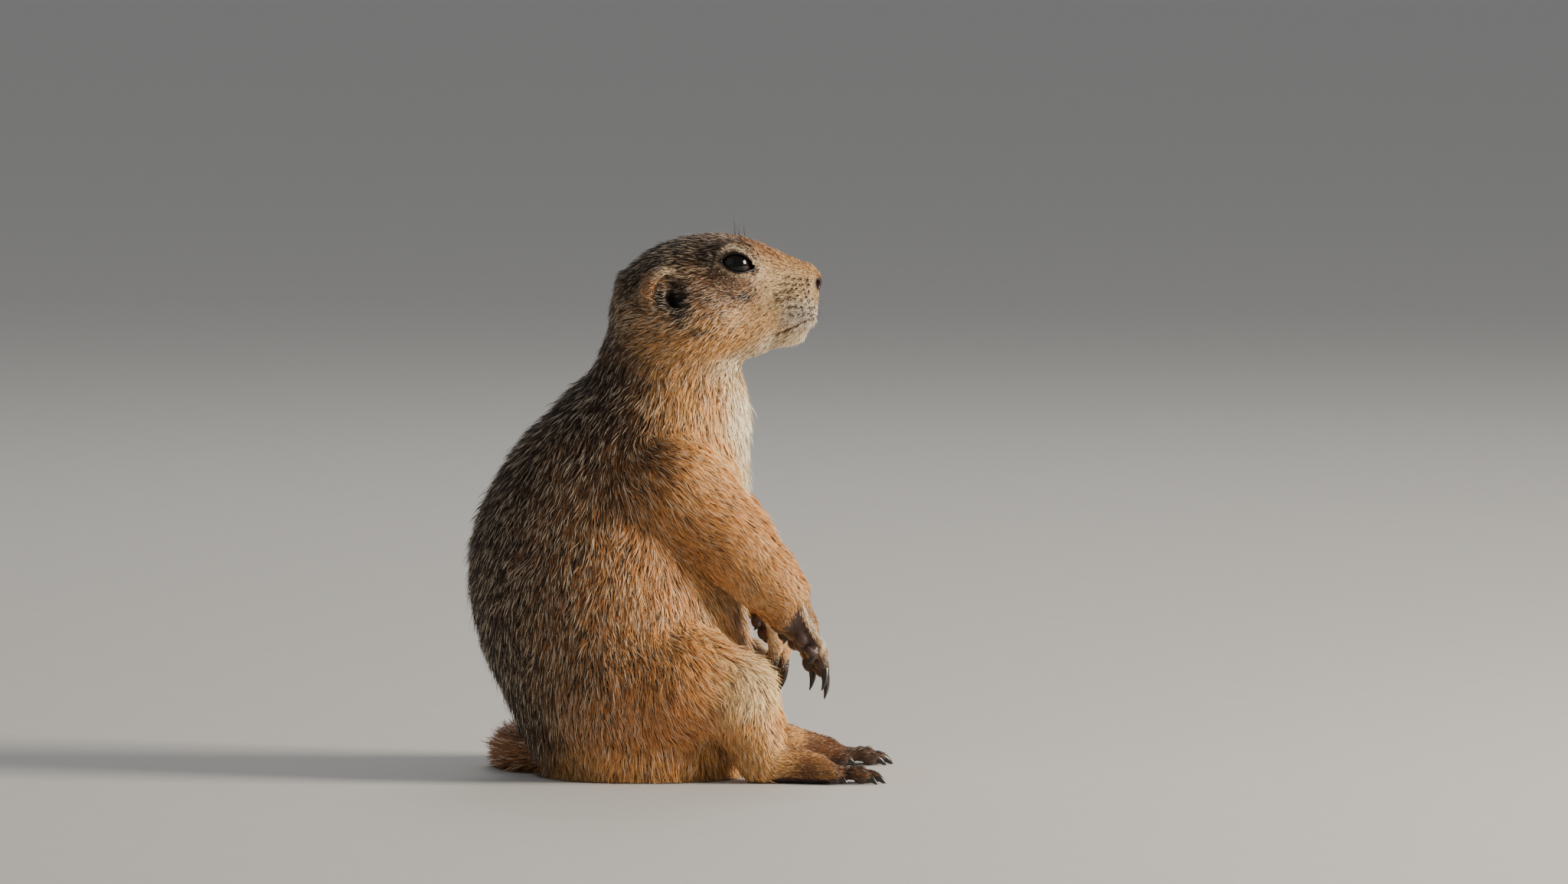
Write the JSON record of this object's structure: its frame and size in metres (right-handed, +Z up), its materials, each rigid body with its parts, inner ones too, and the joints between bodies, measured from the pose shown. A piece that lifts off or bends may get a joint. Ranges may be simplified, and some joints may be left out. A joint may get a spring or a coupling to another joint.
{
  "type": "prairie dog",
  "caption": "Black-tailed prairie dog sitting upright on its haunches, forelegs hanging in front of the belly, life size.",
  "frame": {"origin": "middle of the box round the whole model, on the floor that the rump and hind feet rest on", "axes": "+Z up, +X the way the animal faces, +Y its left side"},
  "size_m": [0.1798, 0.1482, 0.231],
  "materials": {
    "fur": "short dense coat, grizzled brown above, buff below",
    "paw_skin": "bare dark skin with round pads",
    "claw": "dark horn, slightly glossy",
    "eye": "wet, near-black"
  },
  "bodies": {
    "root": {"ear_left": "fur", "ear_right": "fur", "eye_left": "eye", "eye_right": "eye", "foot_claw_left_1": "claw", "foot_claw_left_2": "claw", "foot_claw_left_3": "claw", "foot_claw_left_4": "claw", "foot_claw_left_5": "claw", "foot_claw_right_1": "claw", "foot_claw_right_2": "claw", "foot_claw_right_3": "claw", "foot_claw_right_4": "claw", "foot_claw_right_5": "claw", "foot_left": "fur", "foot_right": "fur", "forearm_left": "fur", "forearm_right": "fur", "hand_claw_left_1": "claw", "hand_claw_left_2": "claw", "hand_claw_left_3": "claw", "hand_claw_left_4": "claw", "hand_claw_left_5": "claw", "hand_claw_right_1": "claw", "hand_claw_right_2": "claw", "hand_claw_right_3": "claw", "hand_claw_right_4": "claw", "hand_claw_right_5": "claw", "hand_left": "paw_skin", "hand_right": "paw_skin", "head": "fur", "neck": "fur", "tail": "fur", "thigh_left": "fur", "thigh_right": "fur", "torso": "fur", "upper_arm_left": "fur", "upper_arm_right": "fur"}
  },
  "joints": []
}
